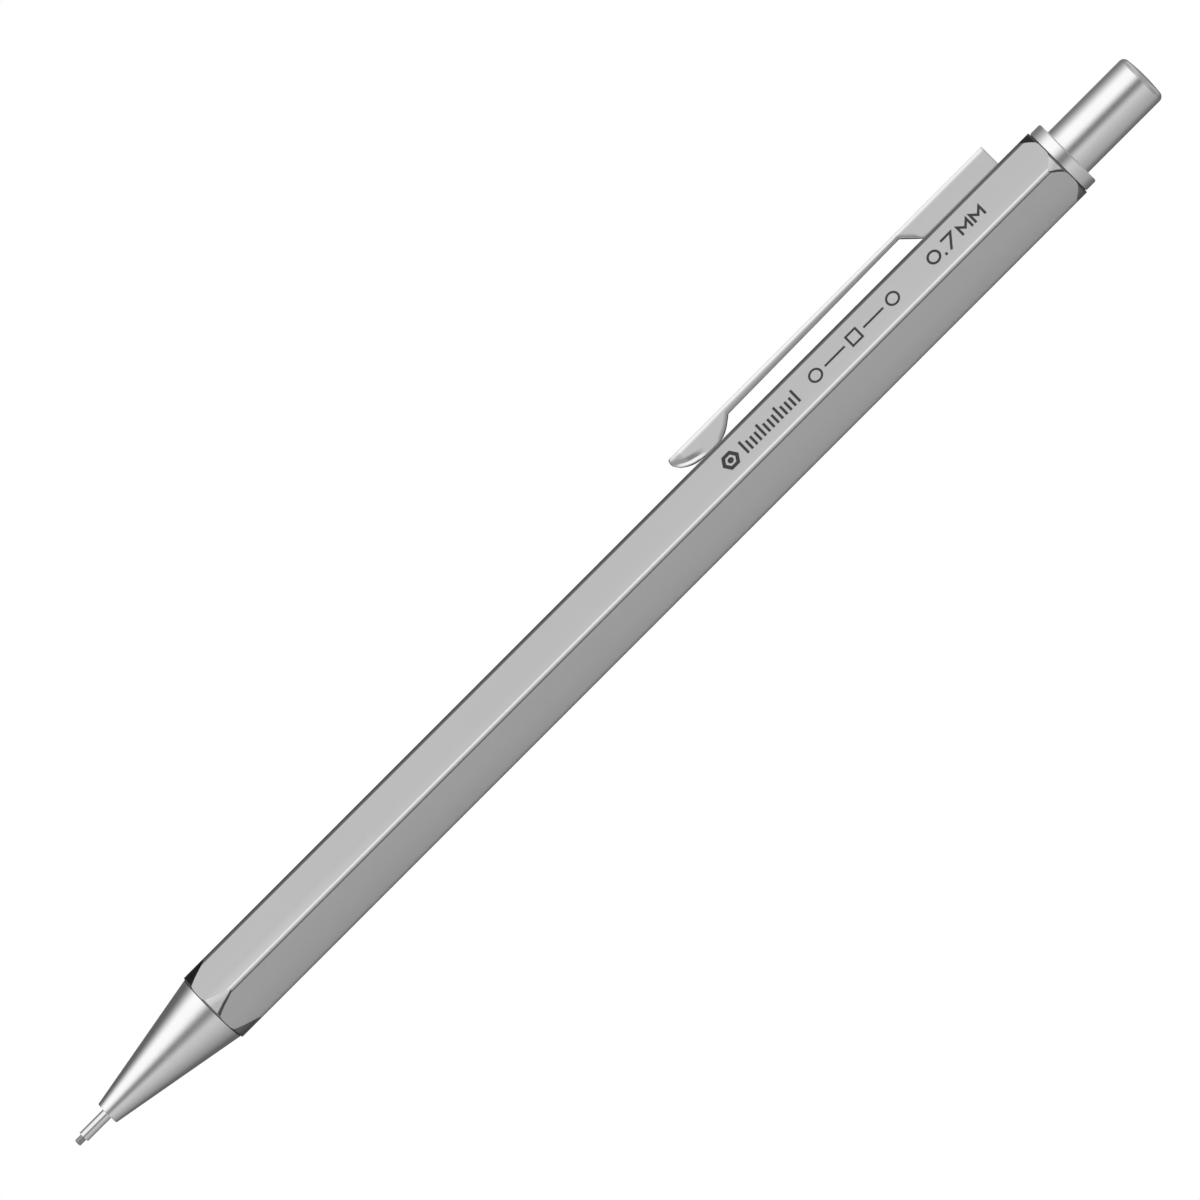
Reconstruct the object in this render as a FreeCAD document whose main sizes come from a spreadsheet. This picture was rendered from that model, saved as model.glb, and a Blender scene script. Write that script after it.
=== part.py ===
import FreeCAD
import Part
import Sketcher
import math
import os
import re

# A hexagonal metal mechanical pencil lying on one flat of its barrel.
#
# Row frame: X runs along the pencil from the lead tip to the push button, Z is up,
# and the clip is on the top flat.  The origin is midway along the length, on the
# surface that the bottom flat rests on.
#
# Every piece is drawn in the pencil's own coordinates: x is the distance behind the
# lead tip, and y and z are measured from the centre line.  Each body's Placement then
# puts the pencil into the row frame.

SIZES = {
    # whole pencil
    "overall_length": 140.0,
    "across_flats": 7.7,
    # barrel
    "barrel_front": 17.86,
    "barrel_rear": 128.6,
    "corner_round": 0.65,
    "ridge_radius": 4.345,
    "front_facet": 20.5,
    "rear_facet": 127.4,
    "end_radius": 3.98,
    "end_break_radius": 3.77,
    "end_break_middle": 0.04,
    "end_break_crown": 3.9,
    "end_break_length": 0.16,
    "barrel_bore": 3.1,
    "turning_allowance": 1.0,
    # nose cone
    "cone_tip": 3.96,
    "cone_tip_radius": 1.21,
    "cone_rear_radius": 3.68,
    "cone_edge": 0.05,
    "seam_width": 0.08,
    "seam_radius": 3.58,
    "thread_radius": 2.75,
    "thread_end": 24.0,
    "chuck_chamber_front": 7.9,
    "chuck_chamber_radius": 1.5,
    "housing_chamber_front": 11.3,
    "housing_chamber_radius": 2.0,
    # lead, guide sleeve and rubber retainer
    "lead_radius": 0.35,
    "lead_length": 48.0,
    "lead_chamfer": 0.08,
    "sleeve_front": 0.85,
    "sleeve_rear": 6.2,
    "sleeve_radius": 0.55,
    "sleeve_seat_radius": 0.78,
    "sleeve_bore": 0.38,
    "retainer_front": 6.25,
    "retainer_rear": 7.75,
    "retainer_radius": 1.0,
    # threaded insert in the barrel
    "insert_front": 18.4,
    "insert_rear": 26.5,
    "insert_bore": 2.8,
    "insert_step": 25.25,
    "insert_throat": 2.3,
    # clutch housing
    "housing_front": 11.8,
    "housing_rear": 27.0,
    "housing_radius": 1.95,
    "flange_front": 24.05,
    "flange_radius": 2.72,
    "ring_pocket_rear": 14.05,
    "ring_pocket_radius": 1.6,
    "spring_wall_rear": 15.0,
    "neck_hole_radius": 0.95,
    "spring_chamber_radius": 1.7,
    # clutch ring
    "ring_front": 12.4,
    "ring_rear": 14.0,
    "ring_radius": 1.54,
    "ring_bore_front": 1.21,
    "ring_bore_rear": 1.05,
    # chuck jaws and stem
    "jaw_front": 11.2,
    "jaw_shoulder": 11.6,
    "jaw_head_rear": 13.6,
    "jaw_rear": 16.07,
    "jaw_face_radius": 0.95,
    "jaw_head_front": 1.25,
    "jaw_head_back": 1.05,
    "jaw_neck_radius": 0.85,
    "jaw_grip_radius": 0.36,
    "jaw_arc": 112.0,
    "stem_front": 16.15,
    "stem_rear": 27.0,
    "stem_bore": 0.45,
    # return spring
    "spring_front": 15.0,
    "spring_rear": 24.0,
    "spring_mean_radius": 1.3,
    "wire_radius": 0.15,
    "spring_turns": 7.0,
    # connector and lead tube
    "connector_front": 24.05,
    "connector_radius": 1.62,
    "tube_front": 30.6,
    "tube_rear": 131.0,
    "tube_radius": 1.75,
    "tube_bore": 1.35,
    "connector_rear": 33.6,
    "connector_bore": 0.75,
    # eraser and its ferrule
    "ferrule_front": 124.0,
    "ferrule_bore": 1.15,
    "ferrule_lip_rear": 131.3,
    "eraser_plug_front": 126.0,
    "eraser_radius": 1.5,
    "eraser_rear": 137.2,
    "eraser_edge": 0.4,
    # spare leads in the tube
    "spare_front": 55.0,
    "spare_length": 60.0,
    "spare_offset": 0.8,
    # bush at the rear of the barrel
    "bush_front": 124.2,
    "bush_bore": 2.72,
    "collar_rear": 129.94,
    "collar_radius": 3.69,
    "collar_edge": 0.12,
    # push button and its liner
    "button_front": 127.5,
    "button_radius": 2.64,
    "button_wall": 0.4,
    "button_floor": 139.3,
    "button_edge_start": 139.3,
    "button_dome_start": 139.88,
    "button_dome_radius": 2.1,
    "button_edge_arc": 0.6,
    "button_dome_arc": 18.0,
    "liner_front": 127.9,
    "liner_bore": 1.8,
    # clip
    "clip_top": 6.03,
    "clip_width": 3.4,
    "clip_sheet": 0.4,
    "clip_fold": 0.45,
    "clip_nose": 83.5,
    "clip_nose_low": 5.0,
    "clip_nose_round": 1.5,
    "clip_nose_arc": 3.7,
    "clip_foot_front": 86.2,
    "clip_foot_rear": 88.2,
    "clip_foot_low": 3.87,
    "clip_heel_arc": 2.85,
    "clip_heel": 90.5,
    "clip_edge_front": 5.1,
    "clip_edge_rear": 5.38,
    "clip_slant_start": 113.2,
    "clip_seam": 114.0,
    "clip_seam_gap": 0.04,
    "clip_seam_low": 4.63,
    "clip_slant_end": 114.8,
    "clip_rear": 124.65,
    "clip_hollow_front": 84.6,
    "tab_front": 116.0,
    "tab_rear": 122.0,
    "tab_low": 2.3,
    "tab_fold": 0.35,
    "tab_reach": 0.4,
}

doc = FreeCAD.newDocument("mechanical_pencil")
sheet = doc.addObject("Spreadsheet::Sheet", "Sizes")
for row, (alias, value) in enumerate(SIZES.items(), start=1):
    sheet.set(f"A{row}", alias)
    sheet.set(f"B{row}", str(value))
    sheet.setAlias(f"B{row}", alias)
doc.recompute()

pieces = []


def bound(words):
    """Turn a formula in the sheet's aliases into a FreeCAD expression."""
    return re.sub(r"[a-z]\w*", r"Sizes.\g<0>", words)


def place(piece, turn=0.0):
    """Put a piece drawn about the centre line into the row frame, turned about that line."""
    piece.Placement = FreeCAD.Placement(FreeCAD.Vector(), FreeCAD.Rotation(FreeCAD.Vector(1, 0, 0), turn))
    piece.setExpression("Placement.Base.x", bound("-overall_length / 2"))
    piece.setExpression("Placement.Base.z", bound("across_flats / 2"))


def new_body(label, turn=0.0):
    """Add an empty body that will be written as one sub-part."""
    body = doc.addObject("PartDesign::Body", label)
    body.Label = label
    place(body, turn)
    pieces.append(body)
    return body


def plane(body, role):
    """Find one of a body's own origin planes."""
    return next(feature for feature in body.Origin.OriginFeatures if feature.Role == role)


def arc_middle(start, end, radius):
    """Middle point of the shorter arc between two points; a negative radius bulges to the right."""
    chord = end - start
    sagitta = abs(radius) - math.sqrt(radius**2 - (chord.Length / 2) ** 2)
    left = FreeCAD.Vector(-chord.y, chord.x, 0).normalize()
    return start + chord * 0.5 + left * math.copysign(sagitta, radius)


def pin_point(sketch, geometry, end, coordinates):
    """Tie one end of a line or arc to the sheet, or to an axis where a coordinate is zero."""
    for kind, axis, words in (("DistanceX", -2, coordinates[0]), ("DistanceY", -1, coordinates[1])):
        if words == "0":
            sketch.addConstraint(Sketcher.Constraint("PointOnObject", geometry, end, axis))
            continue
        value = sketch.evalExpression(bound(words))
        number = sketch.addConstraint(Sketcher.Constraint(kind, -1, 1, geometry, end, value))
        sketch.setExpression(f"Constraints[{number}]", bound(words))


def draw_loop(sketch, points):
    """Draw a closed outline.

    Each point is (x, y) in formulas of the sheet's aliases, or (x, y, radius) where an arc
    leads on to the next point; a minus sign before the radius bulges it to the right.
    """
    spots = []
    for point in points:
        across, up = (sketch.evalExpression(bound(words)) for words in point[:2])
        spots.append(FreeCAD.Vector(across, up))
    ends = []
    for index, point in enumerate(points):
        start = spots[index]
        end = spots[(index + 1) % len(points)]
        if len(point) == 2:
            ends.append((sketch.addGeometry(Part.LineSegment(start, end), False), 1, 2))
            continue
        radius = sketch.evalExpression(bound(point[2]))
        arc = sketch.addGeometry(Part.Arc(start, arc_middle(start, end, radius), end), False)
        number = sketch.addConstraint(Sketcher.Constraint("Radius", arc, abs(radius)))
        sketch.setExpression(f"Constraints[{number}]", bound(point[2].lstrip("-")))
        ends.append((arc, 2, 1) if radius > 0 else (arc, 1, 2))
    for index, point in enumerate(points):
        geometry, first, _ = ends[index]
        before, _, last = ends[index - 1]
        sketch.addConstraint(Sketcher.Constraint("Coincident", before, last, geometry, first))
        pin_point(sketch, geometry, first, point)


def new_sketch(body, name, role, *loops):
    """Add a sketch of closed outlines on one of the body's origin planes."""
    sketch = body.newObject("Sketcher::SketchObject", name)
    sketch.AttachmentSupport = [(plane(body, role), "")]
    sketch.MapMode = "FlatFace"
    for points in loops:
        draw_loop(sketch, points)
    doc.recompute()
    return sketch


def revolve(body, name, kind, *loops):
    """Turn outlines of (distance behind the tip, radius) about the centre line."""
    sketch = new_sketch(body, f"{name}_outline", "XZ_Plane", *loops)
    feature = body.newObject(f"PartDesign::{kind}", name)
    feature.Profile = sketch
    feature.ReferenceAxis = (sketch, ["H_Axis"])
    doc.recompute()
    return feature


def turned(label, *loops):
    """Make a piece that is wholly a body of revolution."""
    body = new_body(label)
    revolve(body, f"{label}_turning", "Revolution", *loops)
    return body


def tube(label, front, rear, outer, inner):
    """Make a plain sleeve."""
    return turned(label, [(front, inner), (rear, inner), (rear, outer), (front, outer)])


def pocket_up(body, name, depth, *loops):
    """Cut outlines drawn on the level plane through the centre line upward by a depth."""
    before = body.Shape.Volume
    feature = body.newObject("PartDesign::Pocket", name)
    feature.Profile = new_sketch(body, f"{name}_outline", "XY_Plane", *loops)
    feature.Reversed = True
    feature.setExpression("Length", bound(depth))
    doc.recompute()
    if body.Shape.Volume >= before:
        raise RuntimeError(f"{name} cuts nothing")


def fillet_edges(body, name, radius, wanted):
    """Round the edges of a body that a test on their two ends picks out."""
    base = body.Tip
    names = []
    for number, edge in enumerate(base.Shape.Edges, start=1):
        if wanted(edge.Vertexes[0].Point, edge.Vertexes[-1].Point):
            names.append(f"Edge{number}")
    feature = body.newObject("PartDesign::Fillet", name)
    feature.Base = (base, names)
    feature.setExpression("Radius", bound(radius))
    doc.recompute()


def rectangle(x_low, x_high, y_low, y_high):
    """Corner points of a rectangle."""
    return [(x_low, y_low), (x_high, y_low), (x_high, y_high), (x_low, y_high)]


def value(alias):
    """A size as a plain number, for picking edges by where they lie."""
    return SIZES[alias]


def near(first, second):
    """Whether two lengths agree."""
    return abs(first - second) < 1e-4


def make_barrel():
    """Hexagonal tube with turned ends, and two slots in the top flat for the clip's tabs."""
    body = new_body("barrel")
    prism = body.newObject("PartDesign::AdditivePrism", "hexagon")
    prism.AttachmentSupport = [(plane(body, "YZ_Plane"), "")]
    prism.MapMode = "FlatFace"
    prism.Polygon = 6
    prism.setExpression("AttachmentOffset.Base.z", "Sizes.barrel_front")
    prism.setExpression("Circumradius", "Sizes.across_flats / sqrt(3)")
    prism.setExpression("Height", "Sizes.barrel_rear - Sizes.barrel_front")
    doc.recompute()
    fillet_edges(body, "ridges", "corner_round", lambda a, b: not near(a.x, b.x))
    outside = "ridge_radius + turning_allowance"
    front = [
        ("barrel_front", "end_break_radius"),
        ("barrel_front + end_break_middle", "end_break_crown"),
        ("barrel_front + end_break_length", "end_radius"),
        ("front_facet", "ridge_radius"),
        ("front_facet", outside),
        ("barrel_front", outside),
    ]
    rear = [
        ("barrel_rear", "end_break_radius"),
        ("barrel_rear - end_break_middle", "end_break_crown"),
        ("barrel_rear - end_break_length", "end_radius"),
        ("rear_facet", "ridge_radius"),
        ("rear_facet", outside),
        ("barrel_rear", outside),
    ]
    revolve(body, "end_facets", "Groove", front, rear)
    bore = rectangle(
        "barrel_front - turning_allowance", "barrel_rear + turning_allowance", "0", "barrel_bore"
    )
    revolve(body, "bore", "Groove", bore)
    inner = "clip_width / 2 - clip_sheet"
    outer = "clip_width / 2"
    slots = [
        rectangle("tab_front", "tab_rear", inner, outer),
        rectangle("tab_front", "tab_rear", f"-({outer})", f"-({inner})"),
    ]
    pocket_up(body, "tab_slots", "across_flats", *slots)


def make_nose():
    """Nose cone, the guide sleeve pressed into its tip, and the rubber ring that holds the lead."""
    turned(
        "nose_cone",
        [
            ("cone_tip", "sleeve_seat_radius"),
            ("cone_tip", "cone_tip_radius - cone_edge"),
            ("cone_tip + cone_edge", "cone_tip_radius"),
            ("barrel_front - seam_width", "cone_rear_radius"),
            ("barrel_front - seam_width", "seam_radius"),
            ("barrel_front", "seam_radius"),
            ("barrel_front", "thread_radius"),
            ("thread_end", "thread_radius"),
            ("thread_end", "housing_chamber_radius"),
            ("housing_chamber_front", "housing_chamber_radius"),
            ("housing_chamber_front", "chuck_chamber_radius"),
            ("chuck_chamber_front", "chuck_chamber_radius"),
            ("chuck_chamber_front", "retainer_radius"),
            ("sleeve_rear", "retainer_radius"),
            ("sleeve_rear", "sleeve_seat_radius"),
        ],
    )
    turned(
        "lead_sleeve",
        [
            ("sleeve_front", "sleeve_bore"),
            ("sleeve_rear", "sleeve_bore"),
            ("sleeve_rear", "sleeve_seat_radius"),
            ("cone_tip", "sleeve_seat_radius"),
            ("cone_tip", "sleeve_radius"),
            ("sleeve_front", "sleeve_radius"),
        ],
    )
    tube("lead_retainer", "retainer_front", "retainer_rear", "retainer_radius", "sleeve_bore")


def make_lead():
    """The lead in use, and the spare leads lying in the tube behind it."""
    turned(
        "lead",
        [
            ("0", "0"),
            ("lead_length", "0"),
            ("lead_length", "lead_radius"),
            ("lead_chamfer", "lead_radius"),
            ("0", "lead_radius - lead_chamfer"),
        ],
    )
    rods = []
    for index in range(3):
        rod = doc.addObject("Part::Cylinder", f"spare_rod_{index + 1}")
        rod.setExpression("Radius", "Sizes.lead_radius")
        rod.setExpression("Height", "Sizes.spare_length")
        angle = math.radians(120 * index + 30)
        rod.Placement.Rotation = FreeCAD.Rotation(FreeCAD.Vector(0, 1, 0), 90)
        rod.setExpression("Placement.Base.x", "Sizes.spare_front")
        rod.setExpression("Placement.Base.y", f"Sizes.spare_offset * {math.cos(angle):.6f}")
        rod.setExpression("Placement.Base.z", f"Sizes.spare_offset * {math.sin(angle):.6f}")
        rods.append(rod)
    spares = doc.addObject("Part::MultiFuse", "spare_leads")
    spares.Label = "spare_leads"
    spares.Shapes = rods
    place(spares)
    pieces.append(spares)


def make_clutch():
    """Threaded insert, clutch housing, clutch ring and the three chuck jaws."""
    turned(
        "thread_insert",
        [
            ("insert_front", "insert_bore"),
            ("insert_step", "insert_bore"),
            ("insert_step", "insert_throat"),
            ("insert_rear", "insert_throat"),
            ("insert_rear", "barrel_bore"),
            ("insert_front", "barrel_bore"),
        ],
    )
    turned(
        "clutch_housing",
        [
            ("housing_front", "ring_pocket_radius"),
            ("ring_pocket_rear", "ring_pocket_radius"),
            ("ring_pocket_rear", "neck_hole_radius"),
            ("spring_wall_rear", "neck_hole_radius"),
            ("spring_wall_rear", "spring_chamber_radius"),
            ("housing_rear", "spring_chamber_radius"),
            ("housing_rear", "housing_radius"),
            ("insert_step", "housing_radius"),
            ("insert_step", "flange_radius"),
            ("flange_front", "flange_radius"),
            ("flange_front", "housing_radius"),
            ("housing_front", "housing_radius"),
        ],
    )
    turned(
        "clutch_ring",
        [
            ("ring_front", "ring_bore_front"),
            ("ring_rear", "ring_bore_rear"),
            ("ring_rear", "ring_radius"),
            ("ring_front", "ring_radius"),
        ],
    )
    jaw = [
        ("jaw_front", "jaw_grip_radius"),
        ("jaw_rear", "jaw_grip_radius"),
        ("jaw_rear", "jaw_neck_radius"),
        ("jaw_head_rear", "jaw_neck_radius"),
        ("jaw_head_rear", "jaw_head_back"),
        ("jaw_shoulder", "jaw_head_front"),
        ("jaw_front", "jaw_face_radius"),
    ]
    for index in range(3):
        body = new_body(f"chuck_jaw_{index + 1}", turn=120 * index)
        turning = revolve(body, f"jaw_{index + 1}_turning", "Revolution", jaw)
        turning.Midplane = True
        turning.setExpression("Angle", "Sizes.jaw_arc")


def make_feed():
    """Chuck stem, return spring, connector, lead tube and eraser."""
    tube("chuck_stem", "stem_front", "stem_rear", "jaw_neck_radius", "stem_bore")
    body = new_body("return_spring")
    wire = body.newObject("Sketcher::SketchObject", "wire")
    wire.AttachmentSupport = [(plane(body, "XZ_Plane"), "")]
    wire.MapMode = "FlatFace"
    start = FreeCAD.Vector(value("spring_front") + value("wire_radius"), value("spring_mean_radius"), 0)
    circle = wire.addGeometry(Part.Circle(start, FreeCAD.Vector(0, 0, 1), value("wire_radius")), False)
    radius = wire.addConstraint(Sketcher.Constraint("Radius", circle, value("wire_radius")))
    wire.setExpression(f"Constraints[{radius}]", "Sizes.wire_radius")
    pin_point(wire, circle, 3, ("spring_front + wire_radius", "spring_mean_radius"))
    coil = body.newObject("PartDesign::AdditiveHelix", "coil")
    coil.Profile = wire
    coil.ReferenceAxis = (wire, ["H_Axis"])
    coil.Mode = "height-turns-angle"
    coil.setExpression("Height", "Sizes.spring_rear - Sizes.spring_front - 2 * Sizes.wire_radius")
    coil.setExpression("Turns", "Sizes.spring_turns")
    turned(
        "chuck_connector",
        [
            ("connector_front", "jaw_neck_radius"),
            ("stem_rear", "jaw_neck_radius"),
            ("stem_rear", "connector_bore"),
            ("connector_rear", "connector_bore"),
            ("connector_rear", "tube_bore"),
            ("tube_front", "tube_bore"),
            ("tube_front", "connector_radius"),
            ("connector_front", "connector_radius"),
        ],
    )
    tube("lead_tube", "tube_front", "tube_rear", "tube_radius", "tube_bore")
    turned(
        "eraser_ferrule",
        [
            ("ferrule_front", "ferrule_bore"),
            ("ferrule_lip_rear", "ferrule_bore"),
            ("ferrule_lip_rear", "tube_radius"),
            ("tube_rear", "tube_radius"),
            ("tube_rear", "tube_bore"),
            ("ferrule_front", "tube_bore"),
        ],
    )
    turned(
        "eraser",
        [
            ("eraser_plug_front", "0"),
            ("eraser_rear", "0"),
            ("eraser_rear", "eraser_radius - eraser_edge", "-eraser_edge"),
            ("eraser_rear - eraser_edge", "eraser_radius"),
            ("ferrule_lip_rear", "eraser_radius"),
            ("ferrule_lip_rear", "ferrule_bore"),
            ("eraser_plug_front", "ferrule_bore"),
        ],
    )


def make_rear():
    """Bush with its visible collar, and the push button with the liner that grips the lead tube."""
    turned(
        "rear_collar",
        [
            ("bush_front", "bush_bore"),
            ("collar_rear", "bush_bore"),
            ("collar_rear", "collar_radius - collar_edge"),
            ("collar_rear - collar_edge", "collar_radius"),
            ("barrel_rear + seam_width", "collar_radius"),
            ("barrel_rear + seam_width", "seam_radius"),
            ("barrel_rear", "seam_radius"),
            ("barrel_rear", "barrel_bore"),
            ("bush_front", "barrel_bore"),
        ],
    )
    turned(
        "push_button",
        [
            ("button_front", "button_radius - button_wall"),
            ("button_floor", "button_radius - button_wall"),
            ("button_floor", "0"),
            ("overall_length", "0", "-button_dome_arc"),
            ("button_dome_start", "button_dome_radius", "-button_edge_arc"),
            ("button_edge_start", "button_radius"),
            ("button_front", "button_radius"),
        ],
    )
    tube("button_liner", "liner_front", "tube_rear", "button_radius - button_wall", "liner_bore")


def pad_across(body, name, points):
    """Pad a side outline evenly to both sides by the clip's width."""
    pad = body.newObject("PartDesign::Pad", name)
    pad.Profile = new_sketch(body, f"{name}_outline", "XZ_Plane", points)
    pad.Midplane = True
    pad.setExpression("Length", "Sizes.clip_width")
    doc.recompute()


def make_clip_arm():
    """Springy arm of the folded sheet clip, a tray open below that bears on the barrel with its foot."""
    body = new_body("clip_arm")
    end = "clip_seam - clip_seam_gap"
    pad_across(
        body,
        "arm",
        [
            ("clip_nose", "clip_top"),
            ("clip_nose", "clip_nose_low", "-clip_nose_arc"),
            ("clip_foot_front", "clip_foot_low"),
            ("clip_foot_rear", "clip_foot_low", "-clip_heel_arc"),
            ("clip_heel", "clip_edge_front"),
            ("clip_slant_start", "clip_edge_rear"),
            (end, "clip_seam_low"),
            (end, "clip_top"),
        ],
    )
    nose = value("clip_nose")
    seam = value("clip_seam") - value("clip_seam_gap")
    top = value("clip_top")
    fillet_edges(
        body,
        "nose_round",
        "clip_nose_round",
        lambda a, b: near(a.x, nose) and near(b.x, nose) and near(a.y, b.y),
    )
    fillet_edges(
        body,
        "fold",
        "clip_fold",
        lambda a, b: near(a.z, top) and near(b.z, top) and not (near(a.x, seam) and near(b.x, seam)),
    )
    hollow = rectangle(
        "clip_hollow_front",
        "clip_seam",
        "-(clip_width / 2 - clip_sheet)",
        "clip_width / 2 - clip_sheet",
    )
    pocket_up(body, "hollow", "clip_top - clip_sheet", hollow)


def make_clip_root():
    """Folded box at the clip's rear end, with two tabs crimped under the barrel's top wall."""
    body = new_body("clip_root")
    flat = "across_flats / 2"
    pad_across(
        body,
        "root",
        [
            ("clip_seam", "clip_top"),
            ("clip_seam", "clip_seam_low"),
            ("clip_slant_end", flat),
            ("clip_rear", flat),
            ("clip_rear", "clip_top"),
        ],
    )
    top = value("clip_top")
    fillet_edges(
        body,
        "root_fold",
        "clip_fold",
        lambda a, b: near(a.z, top) and near(b.z, top) and near(a.y, b.y),
    )
    inner = "clip_width / 2 - clip_sheet"
    hollow = rectangle("clip_seam - clip_sheet", "clip_rear - clip_sheet", f"-({inner})", inner)
    pocket_up(body, "root_hollow", "clip_top - clip_sheet", hollow)
    outer = "clip_width / 2"
    left = [
        (inner, flat),
        (inner, "tab_low + tab_fold"),
        ("tab_reach", "tab_low + tab_fold"),
        ("tab_reach", "tab_low"),
        (outer, "tab_low"),
        (outer, flat),
    ]
    right = [(f"-({across})", height) for across, height in left]
    sketch = new_sketch(body, "tabs_outline", "YZ_Plane", left, right)
    sketch.setExpression("AttachmentOffset.Base.z", "Sizes.tab_front")
    tabs = body.newObject("PartDesign::Pad", "tabs")
    tabs.Profile = sketch
    tabs.setExpression("Length", "Sizes.tab_rear - Sizes.tab_front")


def check_all():
    """Stop if any feature failed or any piece is empty."""
    for item in doc.Objects:
        if "Invalid" in item.State or "Error" in item.State:
            raise RuntimeError(f"{item.Label} failed: {item.State}")
    for piece in pieces:
        if piece.Shape.isNull() or not piece.Shape.isValid() or not piece.Shape.Solids:
            raise RuntimeError(f"{piece.Label} has no valid solid")


make_barrel()
make_nose()
make_lead()
make_clutch()
make_feed()
make_rear()
make_clip_arm()
make_clip_root()
doc.recompute()
check_all()

os.makedirs("parts", exist_ok=True)
for piece in pieces:
    piece.Shape.exportStep(f"parts/{piece.Label}.step")
    print(piece.Label, len(piece.Shape.Solids), round(piece.Shape.Volume, 3), piece.Shape.BoundBox)
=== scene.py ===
import bpy
import math
from mathutils import Matrix, Vector


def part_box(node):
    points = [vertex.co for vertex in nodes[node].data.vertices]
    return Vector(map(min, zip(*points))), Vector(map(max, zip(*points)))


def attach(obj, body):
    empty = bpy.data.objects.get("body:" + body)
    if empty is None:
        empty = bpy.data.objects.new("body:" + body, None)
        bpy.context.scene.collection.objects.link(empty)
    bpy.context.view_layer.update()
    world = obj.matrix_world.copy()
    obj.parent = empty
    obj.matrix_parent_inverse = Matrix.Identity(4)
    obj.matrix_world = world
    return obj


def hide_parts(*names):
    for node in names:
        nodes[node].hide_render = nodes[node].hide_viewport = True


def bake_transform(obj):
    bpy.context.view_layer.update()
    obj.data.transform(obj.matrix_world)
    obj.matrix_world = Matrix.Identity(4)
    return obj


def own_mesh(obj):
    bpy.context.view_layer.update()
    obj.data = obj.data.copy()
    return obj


# A hexagonal metal mechanical pencil on a pale studio floor.
# The pencil's axis runs along X, the clip is on top, and the ridge at -Y faces the camera.
# Lengths are metres.  "Behind the tip" means along +X from the lead's tip.

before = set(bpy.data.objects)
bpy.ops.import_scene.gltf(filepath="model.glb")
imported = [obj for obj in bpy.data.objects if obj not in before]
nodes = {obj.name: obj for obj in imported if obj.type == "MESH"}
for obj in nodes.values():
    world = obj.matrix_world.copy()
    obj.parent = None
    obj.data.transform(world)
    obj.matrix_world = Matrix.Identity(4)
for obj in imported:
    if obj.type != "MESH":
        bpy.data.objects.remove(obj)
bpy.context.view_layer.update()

MM = 0.001

# ---------------------------------------------------------------- places taken from the frame

barrel_low, barrel_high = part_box("barrel")
AXIS_Z = (barrel_low.z + barrel_high.z) / 2
FLAT = barrel_high.z - AXIS_Z
RIDGE = barrel_high.y
TIP_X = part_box("lead")[0].x
root_low, root_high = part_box("clip_root")
arm_low, arm_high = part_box("clip_arm")


def from_tip(distance):
    """X of a place so many metres behind the lead's tip."""
    return TIP_X + distance


def new_mesh(name, points, faces, crease=40):
    """Add a mesh object made of points and faces, smooth except at edges sharper than crease degrees."""
    mesh = bpy.data.meshes.new(name)
    mesh.from_pydata([tuple(point) for point in points], [], faces)
    mesh.validate()
    mesh.update()
    mesh.shade_smooth()
    mesh.set_sharp_from_angle(angle=math.radians(crease))
    piece = bpy.data.objects.new(name, mesh)
    bpy.context.scene.collection.objects.link(piece)
    return piece


def between(x, stops):
    """Value at x on straight runs between (place, value) stops."""
    if x <= stops[0][0]:
        return stops[0][1]
    for (start, low), (end, high) in zip(stops, stops[1:]):
        if x <= end:
            return low + (high - low) * (x - start) / (end - start)
    return stops[-1][1]


# ---------------------------------------------------------------- materials


class Graph:
    """A node tree with short helpers that add and join nodes."""

    def __init__(self, tree):
        self.nodes = tree.nodes
        self.links = tree.links

    def add(self, kind, operation=None, **inputs):
        """New node whose inputs are constants or other nodes' outputs.

        An input goes by its Blender name, with _ for a space, or by n and its number.
        """
        node = self.nodes.new("ShaderNode" + kind)
        if operation:
            node.operation = operation
        for name, value in inputs.items():
            numbered = name[0] == "n" and name[1:].isdigit()
            socket = node.inputs[int(name[1:]) if numbered else name.replace("_", " ")]
            if isinstance(value, bpy.types.NodeSocket):
                self.links.new(value, socket)
            else:
                socket.default_value = value
        return node

    def math(self, operation, first, second=0.0):
        """One arithmetic step."""
        return self.add("Math", operation, n0=first, n1=second).outputs[0]

    def ease(self, source, low, high, start=0.0, end=1.0):
        """Soft step from start to end as the source goes from low to high."""
        node = self.add("MapRange", Value=source, From_Min=low, From_Max=high, To_Min=start, To_Max=end)
        node.interpolation_type = "SMOOTHSTEP"
        return node.outputs["Result"]

    def ramp(self, source, stops):
        """Grey level at places from 0 to 1, as (place, level) stops."""
        node = self.add("ValToRGB", Fac=source)
        elements = node.color_ramp.elements
        elements[0].position, elements[1].position = stops[0][0], stops[-1][0]
        elements[0].color, elements[1].color = (*grey(stops[0][1]), 1), (*grey(stops[-1][1]), 1)
        for place, level in stops[1:-1]:
            elements.new(place).color = (*grey(level), 1)
        return node.outputs["Color"]

    def mix(self, share, first, second):
        """Blend two colours."""
        node = self.nodes.new("ShaderNodeMix")
        node.data_type = "RGBA"
        self.links.new(share, node.inputs["Factor"])
        for name, value in (("A", first), ("B", second)):
            if isinstance(value, bpy.types.NodeSocket):
                self.links.new(value, node.inputs[name])
            else:
                node.inputs[name].default_value = (*value, 1)
        return node.outputs["Result"]


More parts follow.
